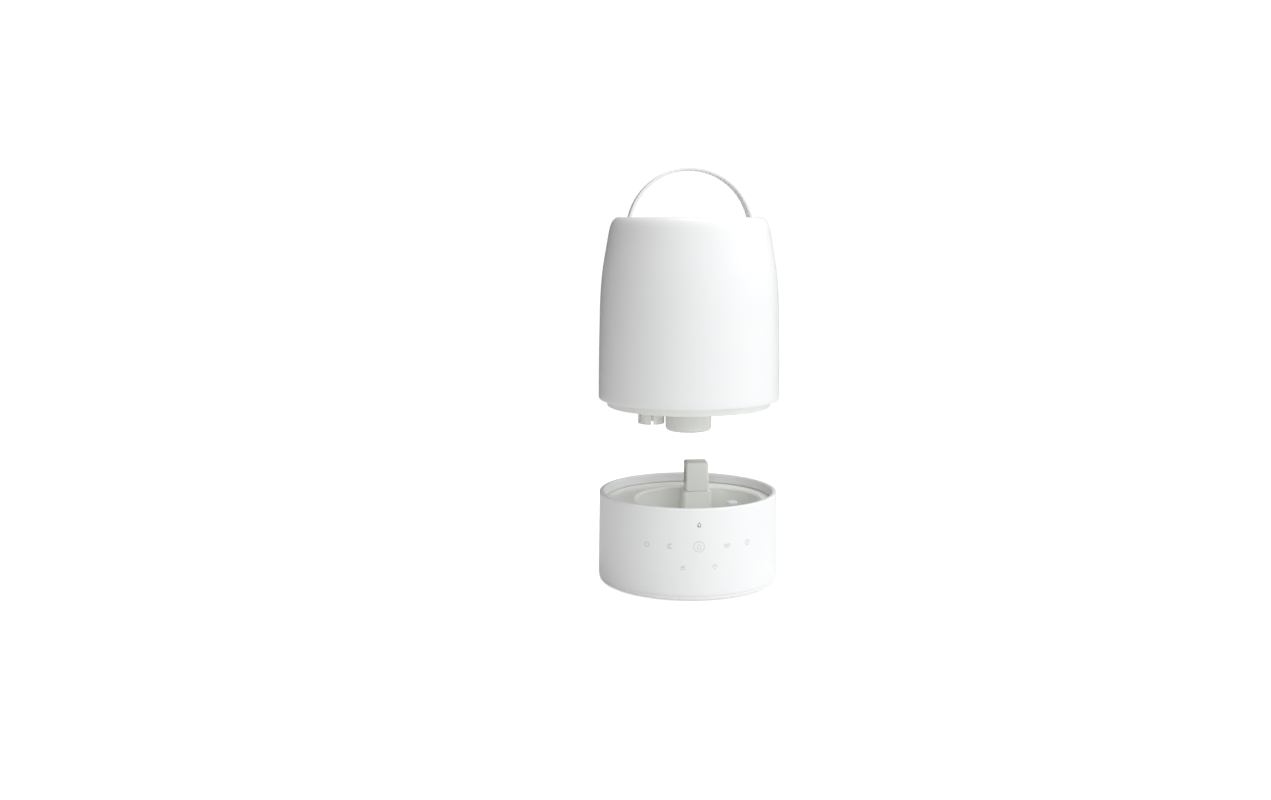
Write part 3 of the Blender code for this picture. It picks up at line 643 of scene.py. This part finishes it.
def drop_line(height):
    """The outline of a water drop."""
    r = height * 0.32
    low = -height / 2 + r
    path = arc(r, 205.0, 335.0, (0, low), 14)
    right = arc(r, -25.0, 30.0, (0, low), 6)[1:]
    left = [(-u, v) for u, v in reversed(right)]
    return path + right + [(0.0, height / 2)] + left


def make_marks():
    moon = arc(2.1, 70, 290, (0, 0)) + arc(1.75, 285, 75, (0.95, 0))
    make_mark("mark_power", [(arc(2.0, 125, 415), False), ([(0, 0.7), (0, 2.7)], False)],
              -32.6, MARKS_MIDDLE)
    make_mark("mark_night", [(moon, True)], -17.7, MARKS_MIDDLE)
    make_mark("mark_level", [(circle_line(4.6), True), (drop_line(4.8), True)],
              0.0, MARKS_MIDDLE, 0.45)
    make_mark("mark_fan", [(circle_line(1.1, (-1.5, 0)), True), (circle_line(1.1, (1.5, 0)), True),
                           ([(-1.5, -1.9), (1.5, -1.9)], False)], 17.7, MARKS_MIDDLE)
    make_mark("mark_timer", [(circle_line(2.1), True), ([(0, 1.2), (0, 0), (0.9, 0)], False)],
              32.6, MARKS_MIDDLE)
    make_mark("mark_lock", [(arc(1.0, 0, 180, (0, 0.3)), False),
                            ([(-1.5, 0.1), (1.5, 0.1), (1.5, -1.9), (-1.5, -1.9)], True)],
              -9.7, MARKS_LOW)
    make_mark("mark_lamp", [(arc(1.5, -50, 230, (0, 0.5)), False),
                            ([(-0.8, -1.6), (0.8, -1.6)], False)], 9.7, MARKS_LOW)
    make_mark("mark_drop", [(drop_line(4.2), True), (arc(0.8, 200, 270, (0, -0.7), 6), False)],
              0.0, MARKS_TOP, 0.5, "dark_ink")


# ---------------------------------------------------------------- tank


def make_tank_shell():
    outline = smooth_line([(82.5, 2.0), (82.2, 31.0), (81.6, 62.0), (80.7, 92.0), (78.8, 115.0),
                           (75.8, 134.0), (72.6, 152.0)], 5)
    lip = smooth_line([(72.6, 152.0), (71.4, 156.5), (69.9, 159.8), (68.0, 162.2), (65.9, 163.6),
                       (64.0, 164.0)], 3)[1:]
    hem = [(80.3, 1.2), (80.7, 0.4), (81.3, 0.0), (81.9, 0.2), (82.35, 0.9)]
    inside = fillet(
        [(63.0, 163.7), (62.1, 162.4), (62.0, 160.0), (62.0, 140.0), (17.0, 140.0), (17.0, 148.0),
         (14.5, 148.0), (14.5, 137.8), (64.2, 137.8), (64.2, 150.0), (70.6, 150.0), (73.4, 134.0),
         (76.4, 115.0), (78.5, 92.0), (79.4, 62.0), (80.3, 4.0)],
        [0.5, 0.5, 0, 2.5, 1.2, 0.6, 0.6, 0.6, 1.5, 0.8, 0.8, 0, 0, 0, 0, 0], False)
    shell = lathe("tank_wall", hem + outline + lip + inside, lift=TANK_Z)
    z = TANK_Z + HANDLE_Z
    for side in (-1, 1):
        boss = lathe("boss", fillet([(0, 57.6), (6.5, 57.6), (7.4, 63.0), (0, 63.0)],
                                    [0, 0.7, 0, 0], False), count=48)
        bore = lathe("bore", [(0, 50), (PIN_BORE_R, 50), (PIN_BORE_R, 61.9), (0, 61.9)], count=32)
        add(shell, lay_along(boss, (side, 0, 0), (0, 0, z)))
        cut(shell, lay_along(bore, (side, 0, 0), (0, 0, z)))
    place(shell, "tank", MATERIALS["white_shell"],
          ["tank_shell", "tank_shoulder", "recess_floor", "nozzle_collar"])


def thread(radius, low, turns, pitch, depth=0.65, count=40):
    """A ridge wound round the neck, tapering out at both ends."""
    rings = []
    total = int(turns * count)
    for i in range(total + 1):
        a = 2 * PI * i / count
        z = low + pitch * i / count
        tall = depth * min(1.0, 8 * i / total, 8 * (total - i) / total) + 0.02
        ring = []
        for dr, dz in ((-0.3, -0.9), (tall, -0.25), (tall, 0.25), (-0.3, 0.9)):
            ring.append(((radius + dr) * math.cos(a), (radius + dr) * math.sin(a), z + dz + TANK_Z))
        rings.append(ring)
    return loft("thread", rings)


def make_tank_floor():
    profile = fillet(
        [(15.5, -25.2), (17.5, -25.2), (17.5, 19.0), (72.2, 19.0), (72.2, -6.5), (74.7, -6.5),
         (74.7, 0.5), (80.0, 0.5), (80.0, 3.0), (74.7, 3.0), (74.7, 21.5), (15.5, 21.5)],
        [0.5, 0.5, 1.5, 3.0, 0.9, 1.1, 0.6, 0.4, 0.4, 0.6, 2.0, 1.0])
    floor = lathe("tank_bottom", profile, lift=TANK_Z)
    socket = fillet([(0, 20.5), (14.6, 20.5), (14.6, 28.0), (0, 28.0)], [0, 0, 0.6, 0], False)
    add(floor, lathe("socket", socket, WELL_AT, SMALL, TANK_Z))
    cut(floor, lathe("hole", [(0, 10), (12.3, 10), (12.3, 40), (0, 40)], WELL_AT, SMALL, TANK_Z))
    duct_side, tower_side, reach = 171.0, 73.0, 24.0
    for i in range(10):
        a = 36.0 * i + 18.0
        near_duct = abs((a - duct_side + 180) % 360 - 180) < reach
        near_tower = abs((a - tower_side + 180) % 360 - 180) < reach
        inner, low = (60.0, 12.0) if near_duct or near_tower else (26.0, 9.0)
        rib = box("rib", (inner, -0.8, low), (72.6, 0.8, 19.6), 0.3)
        add(floor, turned(rib, a, (0, 0, TANK_Z)))
    place(floor, "tank", MATERIALS["white_inner"],
          ["tank_floor", "plug_ring", "seat_flange", "filler_neck"])
    ridge = thread(17.45, -22.0, 2.4, 4.0)
    place(ridge, "tank", MATERIALS["white_inner"])


def tube_rings(path, radius, count=48):
    rings = []
    points = [Vector(p) for p in path]
    for i, point in enumerate(points):
        along = (points[min(i + 1, len(points) - 1)] - points[max(i - 1, 0)]).normalized()
        side = along.cross(Vector((0, 1, 0))).normalized()
        top = side.cross(along).normalized()
        rings.append([tuple(point + radius * (math.cos(2 * PI * k / count) * side
                                              + math.sin(2 * PI * k / count) * top))
                      for k in range(count)])
    return rings


def make_mist_path():
    x, y = WELL_AT
    bends = [(x, y, 19.3), (x, y, 36), (0.93 * x, 0.93 * y, 45), (0.07 * x, 0.07 * y, 109),
             (0, 0, 118), (0, 0, 143.0)]
    path = fillet([(a, b, c + TANK_Z) for a, b, c in bends], [0, 6, 6, 6, 6, 0], False, 5)
    rings = tube_rings(path, 12.0)
    duct = loft("mist_tube", rings + tube_rings(path, 10.5)[::-1], closed=True)
    place(duct, "tank", MATERIALS["white_inner"], ["mist_duct"])
    profile = fillet([(10.6, -24.0), (12.25, -24.0), (12.25, 17.3), (15.0, 17.3), (15.0, 18.7),
                      (10.6, 18.7)], [0.4, 0.5, 0.6, 0.3, 0.3, 0.3])
    skirt = lathe("skirt_ring", profile, WELL_AT, 96, TANK_Z)
    for i in range(3):
        slot = box("slot", (-20.0, -1.0, -30.0), (20.0, 1.0, -13.0), 0.0)
        cut(skirt, turned(slot, 30.0 + 60.0 * i, (x, y, TANK_Z)))
    place(skirt, "tank", MATERIALS["white_inner"], ["mist_skirt"])


def make_handle():
    """The strap bail: a slim rectangle with round edges, bent round its pivots."""
    half = STRAP_HALF
    rings = []

    def section(direction, drop, width):
        low, high = STRAP_INNER, STRAP_OUTER
        corners = fillet([(low, -width), (high, -width), (high, width), (low, width)],
                         [min(0.9, width * 0.45)] * 4, True, 4)
        rings.append([(r * direction[0], y, r * direction[1] - drop + TANK_Z + HANDLE_Z)
                      for r, y in corners])

    ends = [math.radians(a) for a in (84, 78, 70, 60, 50, 40, 30, 20, 10)]
    for a in ends:
        section((1.0, 0.0), half * math.sin(a), half * math.cos(a))
    for i in range(97):
        a = PI * i / 96
        section((math.cos(a), math.sin(a)), 0.0, half)
    for a in reversed(ends):
        section((-1.0, 0.0), half * math.sin(a), half * math.cos(a))
    handle = loft("bail", rings)
    bore = lathe("bore", [(0, -65), (PIN_BORE_R, -65), (PIN_BORE_R, 65), (0, 65)], count=40)
    cut(handle, lay_along(bore, (1, 0, 0), (0, 0, TANK_Z + HANDLE_Z)))
    place(handle, "handle", MATERIALS["white_strap"], ["handle"])


def make_handle_pins():
    for name, side in (("left", -1), ("right", 1)):
        profile = fillet([(0, 51.2), (4.5, 51.5), (4.5, 53.6), (2.4, 53.6), (2.4, 61.2),
                          (0, 61.5)], [0, 0.9, 0.3, 0.2, 0.3, 0], False)
        pin = lathe(f"pivot_pin_{name}", profile, count=48)
        lay_along(pin, (side, 0, 0), (0, 0, TANK_Z + HANDLE_Z))
        place(pin, "tank", MATERIALS["steel"], [f"handle_pin_{name}"])


def make_nozzle():
    profile = fillet(
        [(0, 160.5), (6.0, 160.2), (13.0, 159.0), (17.5, 156.0), (19.2, 152.0), (19.2, 141.5),
         (17.4, 141.5), (17.4, 151.2), (16.0, 154.4), (12.2, 157.0), (6.0, 158.2), (0, 158.5)],
        [0, 6, 6, 4, 3, 0.5, 0.4, 1, 2, 3, 3, 0], False)
    nozzle = lathe("nozzle_dome", profile, count=128, lift=TANK_Z)
    hole = lathe("hole", fillet([(0, -6), (5.5, -6), (5.5, 2.2), (7.6, 4.6), (0, 4.6)],
                                [0, 0, 1.5, 0, 0], False), count=48)
    cut(nozzle, lay_along(hole, (0.0, -0.64, 0.77), (0.0, -9.5, TANK_Z + 157.0)))
    ribs = []
    for i in range(36):
        rib = lathe("rib", [(0, 142.4), (0.45, 142.4), (0.45, 150.6), (0, 151.2)], count=10,
                    lift=TANK_Z)
        rib.data.transform(Matrix.Translation((RIB_RING * MM, 0, 0)))
        ribs.append(turned(rib, i * 10.0 + 5.0))
    add(nozzle, *ribs)
    place(nozzle, "nozzle", MATERIALS["white_shell"], ["mist_nozzle"])


def make_cap():
    cup = fillet([(6.5, -30.0), (21.2, -30.0), (21.2, -9.0), (18.8, -9.0), (18.8, -27.5),
                  (6.5, -27.5)], [0.6, 3.7, 0.7, 0.4, 0.5, 0.5])
    rings = []
    count = 180
    for r, z in cup:
        ring = []
        for i in range(count):
            a = 2 * PI * i / count
            grip = 0.0
            if r > 19.5 and -28.4 < z < -24.2:
                grip = 0.35 * (0.5 - 0.5 * math.cos(a * 45))
            ring.append(((r - grip) * math.cos(a), (r - grip) * math.sin(a), z + TANK_Z))
        rings.append(ring)
    cap = loft("screw_cap", rings, closed=True)
    for i in range(3):
        leg = box("leg", (11.2, -2.0, -28.5), (13.5, 2.0, -12.2), 0.2)
        add(cap, turned(leg, 90.0 + 120.0 * i, (0, 0, TANK_Z)))
    bridge = fillet([(2.7, -13.0), (13.8, -13.0), (13.8, -11.4), (2.7, -11.4)],
                    [0.3, 0.3, 0.3, 0.3], True, 3)
    add(cap, lathe("bridge", bridge, count=64, lift=TANK_Z))
    place(cap, "cap", MATERIALS["white_inner"], ["tank_cap"])


def make_valve():
    stem = fillet([(0, -29.3), (3.0, -29.3), (3.0, -25.8), (9.0, -25.8), (9.0, -24.2),
                   (2.2, -24.2), (2.2, -9.8), (0, -9.3)],
                  [0, 0.6, 0.3, 0.4, 0.4, 0.4, 0.3, 0], False)
    place(lathe("valve_stem", stem, count=48, lift=TANK_Z), "valve",
          MATERIALS["white_inner"], ["valve_plunger"])


def make_spring():
    """The valve's coil. It rides on the plunger, with its top under the bridge at rest."""
    turns, steps, low, high, wire, press = 5, 36, -23.4, -13.9, 0.45, 4.0
    rings = []
    for i in range(turns * steps + 1):
        a = 2 * PI * i / steps
        z = TANK_Z + low + (high - low) * i / (turns * steps)
        ring = []
        for j in range(12):
            b = 2 * PI * j / 12
            r = 5.2 + wire * math.cos(b)
            ring.append((r * math.cos(a), r * math.sin(a), z + wire * math.sin(b)))
        rings.append(ring)
    spring = loft("valve_coil", rings)
    place(spring, "valve", MATERIALS["steel"], ["valve_spring"])
    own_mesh(spring)


# ---------------------------------------------------------------- stage


def make_floor():
    """A round pale table. It glows to white for the camera only, and throws no light by itself."""
    floor = lathe("floor", [(0, -30.0), (1000.0, -30.0), (1000.0, -0.2), (0, -0.2)])
    m = Nodes("pale_floor")
    m.link(m.mix(m.range(m.noise(2.0), 0.0, 1.0), (0.83, 0.83, 0.83), (0.85, 0.85, 0.85)),
           m.shader.inputs["Base Color"])
    m.link(m.range(m.noise(8.0), 0.75, 0.85), m.shader.inputs["Roughness"])
    ray = m.new("ShaderNodeLightPath")
    m.link(m.range(ray.outputs["Is Camera Ray"], 0.0, FLOOR_GLOW, 0.0, 1.0),
           m.shader.inputs["Emission Strength"])
    m.set(**{"Emission Color": (1.0, 1.0, 1.0, 1.0)})
    floor.data.materials.append(m.mat)


def make_world():
    """White behind the object. The light on it is one wide soft sky that leans to one side."""
    world = bpy.data.worlds.new("studio")
    world.use_nodes = True
    tree = world.node_tree

    def new(kind, **settings):
        node = tree.nodes.new(kind)
        for key, value in settings.items():
            setattr(node, key, value)
        return node

    back = tree.nodes["Background"]
    back.inputs["Color"].default_value = (1.0, 1.0, 1.0, 1.0)
    back.inputs["Strength"].default_value = BACKGROUND
    fill = new("ShaderNodeBackground")
    where = new("ShaderNodeTexCoord")
    lean = new("ShaderNodeVectorMath", operation="DOT_PRODUCT")
    lean.inputs[1].default_value = Vector(SKY_FROM).normalized()
    ramp = new("ShaderNodeMapRange")
    low = max(SKY_EVEN - SKY_LEAN, 0.02)
    for key, number in (("From Min", (low - SKY_EVEN) / SKY_LEAN), ("From Max", 1.0),
                        ("To Min", low), ("To Max", SKY_EVEN + SKY_LEAN)):
        ramp.inputs[key].default_value = number
    tint = new("ShaderNodeMix", data_type="RGBA")
    tint.inputs["A"].default_value = (*WARM_SIDE, 1.0)
    tint.inputs["B"].default_value = (*COOL_SIDE, 1.0)
    ray = new("ShaderNodeLightPath")
    mix = new("ShaderNodeMixShader")
    link = tree.links.new
    link(where.outputs["Generated"], lean.inputs[0])
    link(lean.outputs["Value"], ramp.inputs["Value"])
    link(lean.outputs["Value"], tint.inputs["Factor"])
    link(tint.outputs["Result"], fill.inputs["Color"])
    link(ramp.outputs["Result"], fill.inputs["Strength"])
    link(ray.outputs["Is Camera Ray"], mix.inputs["Fac"])
    link(fill.outputs["Background"], mix.inputs[1])
    link(back.outputs["Background"], mix.inputs[2])
    link(mix.outputs["Shader"], tree.nodes["World Output"].inputs["Surface"])
    bpy.context.scene.world = world


def make_lights():
    light = bpy.data.lights.new("overhead", "AREA")
    light.shape = "DISK"
    light.size = LAMP_SIZE
    light.energy = LAMP_POWER
    light.color = (1.0, 1.0, 1.0)
    lamp = add_object("overhead", light)
    lamp.location = LAMP_AT
    lamp.rotation_euler = (Vector(LAMP_AIM) - Vector(LAMP_AT)).to_track_quat("-Z", "Y").to_euler()
    make_world()


def make_camera():
    data = bpy.data.cameras.new("camera")
    data.sensor_width = 36.0
    data.lens = LENS
    data.clip_start, data.clip_end = 0.05, 50.0
    camera = add_object("camera", data)
    camera.location = CAMERA_AT
    turn, tip = math.radians(HEADING), math.radians(TILT)
    ahead = Vector((math.sin(turn) * math.cos(tip), math.cos(turn) * math.cos(tip), -math.sin(tip)))
    camera.rotation_euler = ahead.to_track_quat("-Z", "Y").to_euler()
    bpy.context.scene.camera = camera
    bpy.context.scene.view_settings.view_transform = "Standard"
    bpy.context.scene.view_settings.look = "None"


make_camera()
make_floor()
make_lights()
finish_cad_nodes()
make_base_shell()
make_basin()
make_tower()
make_bottom()
make_feet_and_screws()
make_float()
make_jack()
make_marks()
make_tank_shell()
make_tank_floor()
make_mist_path()
make_handle()
make_handle_pins()
make_nozzle()
make_cap()
make_valve()
make_spring()
